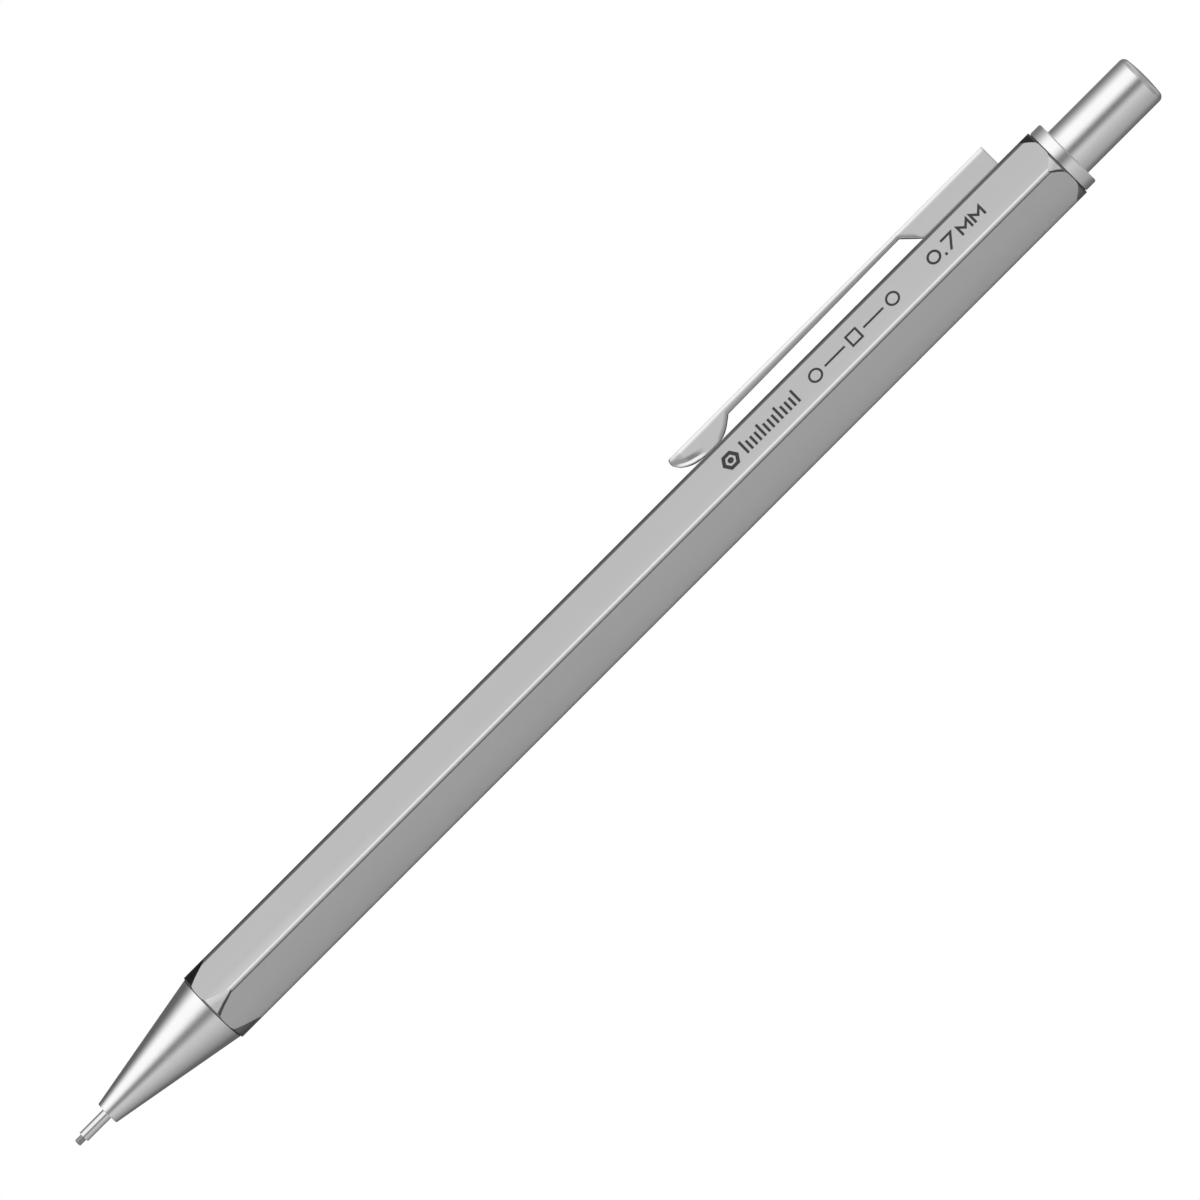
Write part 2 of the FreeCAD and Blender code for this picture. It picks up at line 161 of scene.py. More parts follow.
class Finish(Graph):
    """A material with one Principled shader."""

    def __init__(self, name, color, metallic=0.0, roughness=0.5):
        self.material = bpy.data.materials.new(name)
        self.material.use_nodes = True
        super().__init__(self.material.node_tree)
        self.shader = self.nodes["Principled BSDF"]
        self.shader.inputs["Base Color"].default_value = (*color, 1)
        self.shader.inputs["Metallic"].default_value = metallic
        self.shader.inputs["Roughness"].default_value = roughness
        self.place = self.nodes.new("ShaderNodeTexCoord").outputs["Object"]

    def noise(self, scale, detail=3.0):
        """Noise from 0 to 1, with grains as long along each axis as its scale is small."""
        place = self.add("Mapping", Vector=self.place, Scale=scale).outputs[0]
        return self.add("TexNoise", Vector=place, Scale=1.0, Detail=detail).outputs["Fac"]

    def from_axis(self):
        """Distance across the pencil, up from its axis, and out from its axis."""
        centred = self.add("Mapping", Vector=self.place, Location=(0, 0, -AXIS_Z), Scale=(0, 1, 1)).outputs[0]
        parts = self.add("SeparateXYZ", Vector=centred)
        squares = [self.math("POWER", self.math("ABSOLUTE", parts.outputs[name]), 2.0) for name in "YZ"]
        radius = self.math("SQRT", self.math("ADD", *squares))
        return parts.outputs["Y"], parts.outputs["Z"], radius

    def spread(self, source, low, high):
        """Map 0.3 to 0.7 of a texture onto a range."""
        return self.add(
            "MapRange", Value=source, From_Min=0.3, From_Max=0.7, To_Min=low, To_Max=high
        ).outputs["Result"]

    def vary_roughness(self, source, low, high):
        """Roughness that follows a texture."""
        self.links.new(self.spread(source, low, high), self.shader.inputs["Roughness"])

    def vary_color(self, source, dark, light):
        """Colour that follows a texture."""
        self.links.new(self.mix(self.spread(source, 0, 1), dark, light), self.shader.inputs["Base Color"])

    def bump(self, source, depth):
        """Relief of a depth in metres."""
        relief = self.add("Bump", Height=source, Distance=depth, Strength=1.0)
        self.links.new(relief.outputs["Normal"], self.shader.inputs["Normal"])


def grey(level, warmth=0.0):
    """A near-neutral grey."""
    return (level * (1 + warmth), level, level * (1 - warmth))


def satin_chrome():
    """Pearl chrome of the barrel, with a fine blasted grain.

    The two upper ridges carry a painted dark line of shade.  The side ridges carry a painted highlight above
    their middle, a painted line of shade under it and a soft painted glow on the flat above, stronger near
    the tip.
    """
    look = Finish("satin_chrome", grey(0.61), metallic=0.38, roughness=0.3)
    clouds = look.noise((40, 200, 200), detail=4)
    grain = look.noise((5000, 12000, 12000), detail=2)
    bright = grey(0.94)
    _, up, radius = look.from_axis()
    below_top = look.ease(up, 1 * MM, 1.2 * MM, 1.0, 0.0)
    narrowed = look.math("MULTIPLY", below_top, 0.02 * MM)
    reach = look.math("SUBTRACT", radius, narrowed)
    # Band of the painted ridge marks; it ends a little below the side ridges' middle, so the lower ridges
    # have none.
    upper = look.ease(up, -0.3 * MM, -0.15 * MM)
    ridge = look.math("MULTIPLY", upper, look.ease(reach, RIDGE - 0.115 * MM, RIDGE - 0.045 * MM))
    # Painted highlight on the side ridges above their middle; elsewhere in the band the ridges get painted
    # shade.
    painted_highlight = look.math("MULTIPLY", below_top, look.ease(up, -0.13 * MM, -0.06 * MM))
    # Painted glow on the flat above each side ridge, stronger near the tip.
    along = look.add("SeparateXYZ", Vector=look.place).outputs["X"]
    near_tip = look.ease(along, barrel_low.x + 4 * MM, barrel_low.x + 30 * MM, 0.25, 0.06)
    glow = look.math("MULTIPLY", near_tip, look.ease(reach, RIDGE - 0.55 * MM, RIDGE - 0.12 * MM))
    glow = look.math("MULTIPLY", glow, look.math("MULTIPLY", painted_highlight, below_top))
    satin = look.mix(look.spread(clouds, 0, 1), grey(0.6), grey(0.62))
    satin = look.mix(glow, satin, bright)
    # Ridge colour: bright grey for the painted highlight, dark grey for the painted shade.
    edge = look.mix(painted_highlight, grey(0.14), bright)
    look.links.new(look.mix(ridge, satin, edge), look.shader.inputs["Base Color"])
    matt = look.spread(grain, 0.29, 0.35)
    gloss = look.math("MULTIPLY", ridge, 0.16)
    look.links.new(look.math("SUBTRACT", matt, gloss), look.shader.inputs["Roughness"])
    look.links.new(look.ease(ridge, 0.0, 1.0, 0.38, 0.55), look.shader.inputs["Metallic"])
    look.bump(grain, 0.25e-6)
    return look.material


def seam_shade():
    """Painted shade in the seams between the turned parts, with dark specks; lighter beside the side ridges
    and further in.
    """
    look = Finish("seam_shade", grey(0.1), metallic=0.5, roughness=0.5)
    specks = look.noise((9000, 9000, 9000), detail=3)
    _, up, radius = look.from_axis()
    # Dark painted shade in the seams, with specks.
    seam_shade_tone = look.mix(look.spread(specks, 0, 1), grey(0.08), grey(0.13))
    # Lighter grey beside the side ridges and further in from the outside.
    beside = look.ease(look.math("ABSOLUTE", up), 0.9 * MM, 1.6 * MM, 0.4, 0.0)
    inside = look.ease(radius, 3.3 * MM, 3.45 * MM, 1.0, 0.0)
    lighter_share = look.math("MAXIMUM", beside, inside)
    look.links.new(look.mix(lighter_share, seam_shade_tone, grey(0.5)), look.shader.inputs["Base Color"])
    look.vary_roughness(specks, 0.42, 0.6)
    look.bump(specks, 1e-6)
    return look.material


def cut_chrome():
    """Polished chrome of the facets turned on the barrel's upper and lower ridges, the shaded copy of the
    facet finish.  Its colour is painted by height: near-black on the upper ridges as a painted dark
    reflection, paler grey on the lower ones.
    """
    look = Finish("cut_chrome", grey(0.08), metallic=1.0, roughness=0.12)
    marks = look.noise((16000, 900, 900), detail=2)
    _, up, _ = look.from_axis()
    # Near-black painted dark reflection for the upper facets; the lower facets get a paler grey.
    painted_dark_reflection = look.mix(look.spread(marks, 0, 1), grey(0.05), grey(0.1))
    below = look.ease(up, -1 * MM, 1 * MM, 1.0, 0.0)
    look.links.new(look.mix(below, painted_dark_reflection, grey(0.36)), look.shader.inputs["Base Color"])
    look.vary_roughness(marks, 0.1, 0.16)
    look.bump(marks, 0.15e-6)
    return look.material


def side_facet():
    """Pearl chrome of the facets turned on the side ridges, the lit copy of the facet finish, with a painted
    highlight along the upper edge and a painted shade line along the lower edge.
    """
    look = Finish("side_facet", grey(0.93), metallic=0.4, roughness=0.3)
    marks = look.noise((16000, 900, 900), detail=2)
    across, up, _ = look.from_axis()
    # Distances from the axis, square to the flats above and below: each is FLAT at the facet's edge.
    half_up = look.math("MULTIPLY", up, 0.5)
    outward = look.math("MULTIPLY", look.math("ABSOLUTE", across), math.cos(math.radians(30)))
    upper = look.ease(look.math("ADD", outward, half_up), FLAT - 0.4 * MM, FLAT - 0.05 * MM)
    lower = look.ease(look.math("SUBTRACT", outward, half_up), FLAT - 0.15 * MM, FLAT - 0.08 * MM)
    face = look.mix(look.spread(marks, 0, 1), grey(0.9), grey(0.93))
    # White painted highlight along the upper edge, with less metal under it, and a dark painted shade line
    # along the lower edge.
    with_painted_highlight = look.mix(upper, face, grey(1.0))
    look.links.new(look.mix(lower, with_painted_highlight, grey(0.1)), look.shader.inputs["Base Color"])
    look.links.new(look.ease(upper, 0.0, 1.0, 0.4, 0.1), look.shader.inputs["Metallic"])
    look.vary_roughness(marks, 0.27, 0.33)
    look.bump(marks, 0.15e-6)
    return look.material


def turned_chrome():
    """Chrome over fine lathe marks that run round the cone, collar and button."""
    look = Finish("turned_chrome", grey(0.95), metallic=1.0, roughness=0.2)
    rings = look.noise((14000, 150, 150), detail=3)
    look.vary_color(look.noise((200, 200, 200)), grey(0.94), grey(0.96))
    look.vary_roughness(rings, 0.17, 0.24)
    look.bump(rings, 0.15e-6)
    return look.material


def pressed_steel():
    """Plated spring sheet of the clip, with faint drawing lines along it."""
    look = Finish("pressed_steel", grey(0.90), metallic=1.0, roughness=0.2)
    lines = look.noise((150, 9000, 9000), detail=3)
    look.vary_color(look.noise((90, 300, 300)), grey(0.885), grey(0.915))
    look.vary_roughness(lines, 0.17, 0.24)
    look.bump(lines, 0.15e-6)
    return look.material


def cut_edge_shade():
    """Bare sheared edge of the clip's sheet with fine upright streaks; its near-black tone is painted shade
    along the clip's lower edge.
    """
    look = Finish("cut_edge_shade", grey(0.1), metallic=0.8, roughness=0.4)
    streaks = look.noise((9000, 9000, 2500), detail=3)
    look.vary_color(streaks, grey(0.07), grey(0.13))
    look.vary_roughness(streaks, 0.34, 0.5)
    look.bump(streaks, 0.5e-6)
    return look.material


def drawn_steel():
    """Bare drawn steel tube and wire."""
    look = Finish("drawn_steel", grey(0.62), metallic=1.0, roughness=0.25)
    lines = look.noise((300, 12000, 12000), detail=3)
    look.vary_color(lines, grey(0.56), grey(0.66))
    look.vary_roughness(lines, 0.2, 0.34)
    look.bump(lines, 0.4e-6)
    return look.material


def turned_brass():
    """Bare lathe-turned brass of the clutch."""
    look = Finish("turned_brass", (0.78, 0.57, 0.26), metallic=1.0, roughness=0.28)
    rings = look.noise((12000, 300, 300), detail=3)
    clouds = look.noise((500, 500, 500))
    look.vary_color(clouds, (0.70, 0.49, 0.21), (0.82, 0.61, 0.29))
    look.vary_roughness(rings, 0.22, 0.36)
    look.bump(rings, 0.8e-6)
    return look.material


def moulded_plastic(name, dark, light):
    """Moulded plastic with a faint sparked grain."""
    look = Finish(name, light, roughness=0.45)
    grain = look.noise((5000, 5000, 5000), detail=3)
    look.vary_color(look.noise((120, 120, 120)), dark, light)
    look.vary_roughness(grain, 0.4, 0.55)
    look.bump(grain, 1.5e-6)
    return look.material


def soft_rubber(name, dark, light):
    """Matt rubber with fine dust specks."""
    look = Finish(name, light, roughness=0.8)
    grain = look.noise((6000, 6000, 6000), detail=4)
    look.vary_color(look.noise((2500, 2500, 2500), detail=4), dark, light)
    look.vary_roughness(grain, 0.7, 0.9)
    look.bump(grain, 6e-6)
    return look.material


def graphite():
    """Polymer-bonded lead: dark grey with a dull metallic sheen and drawn streaks."""
    look = Finish("graphite", grey(0.4), metallic=0.7, roughness=0.42)
    streaks = look.noise((800, 14000, 14000), detail=4)
    look.vary_color(streaks, grey(0.34), grey(0.46))
    look.vary_roughness(streaks, 0.34, 0.52)
    look.bump(streaks, 1.5e-6)
    return look.material


def printed_ink():
    """Dark pad-printed ink with slightly uneven cover."""
    look = Finish("printed_ink", grey(0.035), roughness=0.5)
    cover = look.noise((7000, 7000, 7000), detail=4)
    look.vary_color(cover, grey(0.03), grey(0.05))
    look.vary_roughness(cover, 0.42, 0.6)
    look.bump(cover, 1e-6)
    return look.material


SATIN = satin_chrome()
CUT = cut_chrome()
SIDE_CUT = side_facet()
SEAM_SHADE = seam_shade()
TURNED = turned_chrome()
PRESSED = pressed_steel()
CUT_EDGE_SHADE = cut_edge_shade()
DRAWN = drawn_steel()
BRASS = turned_brass()
WHITE_PLASTIC = moulded_plastic("white_plastic", grey(0.76, 0.01), grey(0.84, 0.01))
BLACK_PLASTIC = moulded_plastic("black_plastic", grey(0.03), grey(0.05))
BLACK_RUBBER = soft_rubber("black_rubber", grey(0.02), grey(0.045))
ERASER_RUBBER = soft_rubber("eraser_rubber", grey(0.74, 0.01), grey(0.86, 0.01))
GRAPHITE = graphite()
INK = printed_ink()

NODE_MATERIALS = {
    "barrel": SATIN,
    "rear_collar": TURNED,
    "thread_insert": BRASS,
    "clutch_housing": BRASS,
    "return_spring": DRAWN,
    "clip_root": PRESSED,
    "clip_arm": PRESSED,
    "nose_cone": TURNED,
    "lead_sleeve": PRESSED,
    "lead_retainer": BLACK_RUBBER,
    "lead": GRAPHITE,
    "spare_leads": GRAPHITE,
    "clutch_ring": BRASS,
    "chuck_jaw_1": BRASS,
    "chuck_jaw_2": BRASS,
    "chuck_jaw_3": BRASS,
    "chuck_stem": BRASS,
    "chuck_connector": WHITE_PLASTIC,
    "lead_tube": WHITE_PLASTIC,
    "eraser_ferrule": DRAWN,
    "eraser": ERASER_RUBBER,
    "push_button": TURNED,
    "button_liner": BLACK_PLASTIC,
}


# Material slots on the barrel after its first.
CUT_SLOT = 1
SIDE_CUT_SLOT = 2
SEAM_SHADE_SLOT = 3
# The barrel's outside begins this far from its axis.
OUTSIDE = 0.9 * FLAT
# A face is a facet or an end face by how far its normal turns along the axis.  Inside the barrel it is
# an end face only this near an end.
FACET_TURN = 0.08
END_TURN = 0.45
END_DEPTH = 0.5 * MM
# Facets with their middle this near the axis's height are on the side ridges.
SIDE_REACH = 1.6 * MM
# The seam's painted shade reaches this far along the cone and collar, and this far from the axis.
SEAM_WIDTH = 0.1 * MM
SEAM_REACH = 3.67 * MM


def dress_nodes():
    """Give every CAD node its finish.  The barrel's facets take a lit copy of one finish on the side ridges
    and a shaded copy on the others; its end faces and the seams get painted shade.
    """
    for name, material in NODE_MATERIALS.items():
        mesh = nodes[name].data
        mesh.materials.clear()
        mesh.materials.append(material)
    mesh = nodes["barrel"].data
    for material in (CUT, SIDE_CUT, SEAM_SHADE):
        mesh.materials.append(material)
    for face in mesh.polygons:
        height = face.center.z - AXIS_Z
        turn = abs(face.normal.x)
        outside = math.hypot(face.center.y, height) > OUTSIDE
        at_end = min(face.center.x - barrel_low.x, barrel_high.x - face.center.x) < END_DEPTH
        # End faces and breaks get the seam's painted shade.  Facets on the side ridges get the lit copy of
        # the facet finish, the others the shaded copy with its painted dark reflection.
        if turn > END_TURN and (outside or at_end):
            face.material_index = SEAM_SHADE_SLOT
        elif turn > FACET_TURN and outside:
            face.material_index = SIDE_CUT_SLOT if abs(height) < SIDE_REACH else CUT_SLOT
    # Faces of the cone and collar in each seam get the seam's painted shade.
    for name, seam in (("nose_cone", barrel_low.x), ("rear_collar", barrel_high.x)):
        mesh = nodes[name].data
        mesh.materials.append(SEAM_SHADE)
        for face in mesh.polygons:
            distance = math.hypot(face.center.y, face.center.z - AXIS_Z)
            in_seam = abs(face.center.x - seam) < SEAM_WIDTH and distance < SEAM_REACH
            face.material_index = int(in_seam)


# ---------------------------------------------------------------- clip

CLIP_TOP = arm_high.z
CLIP_HALF = arm_high.y
NOSE_X = arm_low.x
REAR_X = root_high.x
FOOT_Z = arm_low.z
SEAT_Z = AXIS_Z + FLAT
# The sheet's thickness, and the slopes of its side walls.
SHEET = 0.4 * MM
WALL_LEAN = math.tan(math.radians(7.7))
SHOULDER_TILT = math.tan(math.radians(25))
TUCK = 0.1
# Radii of the edge round the top and of the rear corners, seen from above.
CORNER = 0.05 * MM
REAR_CORNER = 0.1 * MM
# The nose: its rounded length and how full its curve is, the length and height of its edge's rise in
# front, and its front's bulge.
NOSE_LENGTH = 1.9 * MM
NOSE_FULLNESS = 2.2
NOSE_ROUND = 0.4 * MM
NOSE_RISE = 0.3 * MM
NOSE_BULGE = 0.1 * MM
# Places along the clip, and the heights of its lower edge there.
FOOT_FRONT = from_tip(86.2 * MM)
FOOT_REAR = from_tip(88.2 * MM)
HEEL = from_tip(90.6 * MM)
SLANT_FRONT = from_tip(113.2 * MM)
SLANT_REAR = from_tip(114.8 * MM)
NOSE_EDGE = CLIP_TOP - 1.15 * MM
HEEL_EDGE = CLIP_TOP - 0.9 * MM
ARM_EDGE = CLIP_TOP - 0.65 * MM
# Share of the side wall's lean: the front of the nose stands nearly upright, and bulges instead.
LEANS = [(NOSE_X, 0.25), (NOSE_X + 0.6 * MM, 1.0)]
# How far the sheet's lower edge curls under at places along the clip.
CURLS = [
    (NOSE_X, 0.24 * MM),
    (FOOT_FRONT - 0.6 * MM, 0.22 * MM),
    (FOOT_FRONT + 0.4 * MM, 0.05 * MM),
    (FOOT_REAR, 0.05 * MM),
    (FOOT_REAR + 0.5 * MM, 0.12 * MM),
    (SLANT_FRONT - 0.4 * MM, 0.12 * MM),
    (SLANT_FRONT + 0.3 * MM, 0.3 * MM),
    (SLANT_REAR - 0.3 * MM, 0.3 * MM),
    (SLANT_REAR + 0.2 * MM, 0.03 * MM),
]
# Height of the strip along the lower edge where the side wall draws in from its lean.
TUCKS = [
    (FOOT_REAR - 0.2 * MM, 0.02 * MM),
    (FOOT_REAR + 0.5 * MM, 0.4 * MM),
    (HEEL, 0.4 * MM),
    (SLANT_FRONT, 0.4 * MM),
    (SLANT_REAR - 0.2 * MM, 0.45 * MM),
    (SLANT_REAR + 0.3 * MM, 0.02 * MM),
]
# Depth of the soft shoulder where the side wall leans in to meet the top.
SHOULDERS = [(FOOT_REAR, 0.4 * MM), (HEEL, 0.36 * MM), (SLANT_FRONT, 0.36 * MM), (SLANT_REAR, 0.36 * MM)]
# Slope of the nose's rolled lip against the wall, by height above the edge: flared, then upright.
LIP = [(0.0, 0.3), (0.2 * MM, 0.3), (0.34 * MM, -0.13), (0.6 * MM, -0.13), (0.85 * MM, 0.0)]
LIP_SHARES = [
    (NOSE_X, 0.4),
    (NOSE_X + 0.7 * MM, 1.0),
    (FOOT_FRONT - 0.6 * MM, 1.0),
    (FOOT_FRONT + 0.5 * MM, 0.0),
]
LIP_STEP = 0.05 * MM


def clip_edge(x):
    """Height of the lower edge of the clip's side wall at a place along it: foot, heel, arm and root."""
    if x < FOOT_FRONT:
        share = (FOOT_FRONT - x) / (FOOT_FRONT - NOSE_X)
        corner = max(0.0, 1 - (x - NOSE_X) / NOSE_ROUND)
        return FOOT_Z + (NOSE_EDGE - FOOT_Z) * share**2 + NOSE_RISE * corner**2
    if FOOT_REAR < x < HEEL:
        share = (x - FOOT_REAR) / (HEEL - FOOT_REAR)
        eased = share * share * (3 - 2 * share)
        return FOOT_Z + (HEEL_EDGE - FOOT_Z) * (share**2 * 0.75 + eased * 0.25)
    stops = [(FOOT_REAR, FOOT_Z), (HEEL, HEEL_EDGE), (SLANT_FRONT, ARM_EDGE), (SLANT_REAR, SEAT_Z)]
    return between(x, stops)


def clip_stations():
    """Places along the clip, close together where its edge curves."""
    places = [NOSE_X + NOSE_LENGTH * (1 - math.cos(math.radians(angle))) for angle in range(0, 90, 6)]
    runs = [
        (NOSE_X + NOSE_LENGTH, FOOT_FRONT, 6),
        (FOOT_FRONT, FOOT_REAR, 8),
        (FOOT_REAR, HEEL, 18),
        (HEEL, SLANT_FRONT - 1 * MM, 44),
        (SLANT_FRONT - 1 * MM, SLANT_FRONT, 8),
        (SLANT_FRONT, SLANT_REAR, 10),
        (SLANT_REAR, SLANT_REAR + 0.2 * MM, 2),
        (SLANT_REAR + 0.2 * MM, REAR_X - REAR_CORNER, 20),
    ]
    for start, end, count in runs:
        places += [start + (end - start) * index / count for index in range(count)]
    return places


def half_width(x):
    """Half the clip's width, seen from above: a nose a little fuller than an ellipse, then straight sides."""
    share = min((x - NOSE_X) / NOSE_LENGTH, 1.0)
    return CLIP_HALF * (1 - (1 - share) ** NOSE_FULLNESS) ** 0.5


def clip_outline():
    """Places round the clip, seen from above, starting at the nose.

    Each has its point, the way into the clip from it, and how far it belongs to the rear wall, from 0 to 1.
    """
    side = [(Vector((x, -half_width(x))), 0.0) for x in clip_stations()]
    for angle in range(0, 91, 30):
        turn = math.radians(angle)
        x = REAR_X - REAR_CORNER * (1 - math.sin(turn))
        y = -CLIP_HALF + REAR_CORNER * (1 - math.cos(turn))
        side.append((Vector((x, y)), math.sin(turn)))
    outline = []
    for index, (spot, rear) in enumerate(side):
        inward = Vector((0.0, 1.0))
        if spot.x < NOSE_X + NOSE_LENGTH:
            before = side[index - 1][0] if index else Vector((spot.x, 0.1 * MM))
            along = side[index + 1][0] - before
            inward = Vector((-along.y, along.x)).normalized() if index else Vector((1.0, 0.0))
        outline.append((spot, inward, rear))
    other_side = []
    for spot, inward, rear in reversed(outline[1:]):
        other_side.append((Vector((spot.x, -spot.y)), Vector((inward.x, -inward.y)), rear))
    return outline + other_side


def lip_flare(x, above_edge):
    """How far the nose's rolled lip stands out from the plain wall at a height above the edge.

    It is the lip's slope added up in short steps from that height to the lip's top.
    """
    wall = CLIP_TOP - clip_edge(x) - between(x, CURLS)
    scale = min(1.0, 0.8 * wall / LIP[-1][0])
    share = between(x, LIP_SHARES)
    flare = 0.0
    height = above_edge / scale
    while height < LIP[-1][0] and share > 0:
        flare += between(height + LIP_STEP / 2, LIP) * LIP_STEP
        height += LIP_STEP
    return flare * scale * share


def wall_inset(x, z):
    """How far in from the foot's outline the clip's outer face stands at a place and height."""
    depth = between(x, SHOULDERS)
    bend = (SHOULDER_TILT - WALL_LEAN) / (2 * (depth - CORNER))
    strip = between(x, TUCKS)
    above_edge = max(0.0, z - clip_edge(x) - between(x, CURLS))
    tuck = TUCK / (2 * strip) * max(0.0, strip - above_edge) ** 2
    shoulder = bend * max(0.0, z - (CLIP_TOP - depth)) ** 2
    lean = between(x, LEANS)
    bulge = NOSE_BULGE * (1 - lean) * math.sin(math.pi * (CLIP_TOP - z) / (CLIP_TOP - clip_edge(x)))
    return WALL_LEAN * lean * (z - SEAT_Z) - bulge + shoulder + tuck - lip_flare(x, above_edge)


def make_clip():
    """One folded sheet: a long tray open below, from the foot's rounded nose to the square rear box."""
    outline = clip_outline()
    count = len(outline)
    points = []
    rings = []

    def ring(height, inset, rear):
        """Add a ring of points, with a height and an inset for each place, and the rear wall's inset."""
        rings.append(range(len(points), len(points) + count))
        for spot, inward, rear_share in outline:
            z = height(spot.x)
            flat = spot + inward * (wall_inset(spot.x, z) + inset(spot.x))
            flat.x = min(flat.x - rear * rear_share, REAR_X - rear)
            if flat.y * spot.y < 0 or spot.y == 0:
                flat.y = 0.0
            points.append((flat.x, flat.y, z))

    def curl(x):
        return between(x, CURLS)

    # Inside: the underside of the top, its rounded corner, and the walls down to the edge.
    inner_top = CLIP_TOP - SHEET
    for drop, depth in ((0.0, SHEET + 0.12 * MM), (0.04 * MM, SHEET + 0.04 * MM)):
        ring(lambda x, drop=drop: inner_top - drop, lambda x, depth=depth: depth, depth)
    wall_top = inner_top - 0.15 * MM
    least_wall = 0.01 * MM
    edge_gap = 0.05 * MM
    edge_inset = 0.1 * MM
    for share in (1.0, 0.6, 0.3, 0.1, 0.0):

        def height(x, share=share):
            low = min(clip_edge(x) + edge_gap, wall_top - least_wall)
            return low + (wall_top - low) * share

        def inset(x, share=share):
            return SHEET + max(0.0, curl(x) + edge_inset - SHEET) * (1 - share)

        ring(height, inset, SHEET)
    # Round the lower edge to the outside.  All but its last two rows are the sheared edge, near-black for
    # painted shade.
    edge_rows = range(len(rings) - 1, len(rings) + 4)
    rear_curl = 0.03 * MM
    for angle in (90, 75, 60, 45, 30, 15, 0):
        turn = math.radians(angle)
        ring(
            lambda x, turn=turn: clip_edge(x) + curl(x) * (1 - math.sin(turn)),
            lambda x, turn=turn: curl(x) * (1 - math.cos(turn)),
            rear_curl * (1 - math.cos(turn)),
        )
    # Up the outside of the walls, with rows closer together near the edge.
    rows = 26
    crowding = 1.4
    for row in range(1, rows + 1):
        share = (row / rows) ** crowding

        def height(x, share=share):
            low = clip_edge(x) + curl(x)
            return low + (CLIP_TOP - CORNER - low) * share

        ring(height, lambda x: 0.0, 0.0)
    # Round the edge of the top.
    start = math.atan(SHOULDER_TILT)
    radius = CORNER / (1 - math.sin(start))
    for step in range(1, 7):
        turn = start + (math.pi / 2 - start) * step / 6
        z = CLIP_TOP - radius * (1 - math.sin(turn))
        across = radius * (math.cos(start) - math.cos(turn))

        def extra(x, z=z, across=across):
            return wall_inset(x, CLIP_TOP - CORNER) + across - wall_inset(x, z)

        ring(lambda x, z=z: z, extra, CORNER * (1 - math.cos(turn)))
    # Walls between the rings, then the underside and top, in strips across the clip.
    faces = []
    for lower, upper in zip(rings, rings[1:]):
        for index in range(count):
            after = (index + 1) % count
            faces.append((lower[index], lower[after], upper[after], upper[index]))
    half = (count - 1) // 2
    for ends, flip in ((rings[0], True), (rings[-1], False)):
        for index in range(half):
            near = [ends[index], ends[index + 1]]
            across = [ends[count - index - 1], ends[(count - index) % count]]
            face = near + across if index else near + across[:1]
            faces.append(tuple(reversed(face)) if flip else tuple(face))
    clip = new_mesh("clip", points, faces)
    clip.data.materials.append(PRESSED)
    clip.data.materials.append(CUT_EDGE_SHADE)
    # The sheared edge's rows get the near-black finish: painted shade along the clip's lower edge.
    for face in clip.data.polygons[edge_rows.start * count : edge_rows.stop * count]:
        face.material_index = 1
    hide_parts("clip_arm", "clip_root")
    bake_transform(clip)


def make_tabs():
    """Two strips bent from the clip's sheet through the barrel's slots and crimped under its top wall."""
    front = from_tip(116 * MM)
    rear = from_tip(122 * MM)
    outside = CLIP_HALF
    inside = CLIP_HALF - SHEET
    low = root_low.z
    end_gap = 0.4 * MM
    end_thickness = SHEET * 0.9
    bend = 0.3 * MM
    inner_bend = 0.05 * MM
    points = []
    faces = []
    for side in (-1, 1):
        outer = [(outside, SEAT_Z), (outside, low + bend)]
        inner = [(inside, SEAT_Z), (inside, low + SHEET + inner_bend)]
        for angle in (30, 60, 90):
            turn = math.radians(angle)
            drawn_in = 1 - math.cos(turn)
            left = 1 - math.sin(turn)
            outer.append((outside - bend * drawn_in, low + bend * left))
            inner.append((inside - inner_bend * drawn_in, low + SHEET + inner_bend * left))
        outer.append((end_gap, low))
        inner.append((end_gap, low + end_thickness))
        section = outer + inner[::-1]
        start = len(points)
        count = len(section)
        ends = (front, rear) if side > 0 else (rear, front)
        for x in ends:
            points += [(x, side * across, height) for across, height in section]
        for index in range(count):
            after = (index + 1) % count
            faces.append((start + index, start + count + index, start + count + after, start + after))
        for index in range(len(outer) - 1):
            strip = (index, index + 1, count - 2 - index, count - 1 - index)
            faces.append(tuple(start + corner for corner in strip))
            faces.append(tuple(start + count + strip[place] for place in (0, 3, 2, 1)))
    tabs = new_mesh("clip_tabs", points, faces, crease=30)
    tabs.data.materials.append(PRESSED)
    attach(tabs, "barrel")


# ---------------------------------------------------------------- return spring


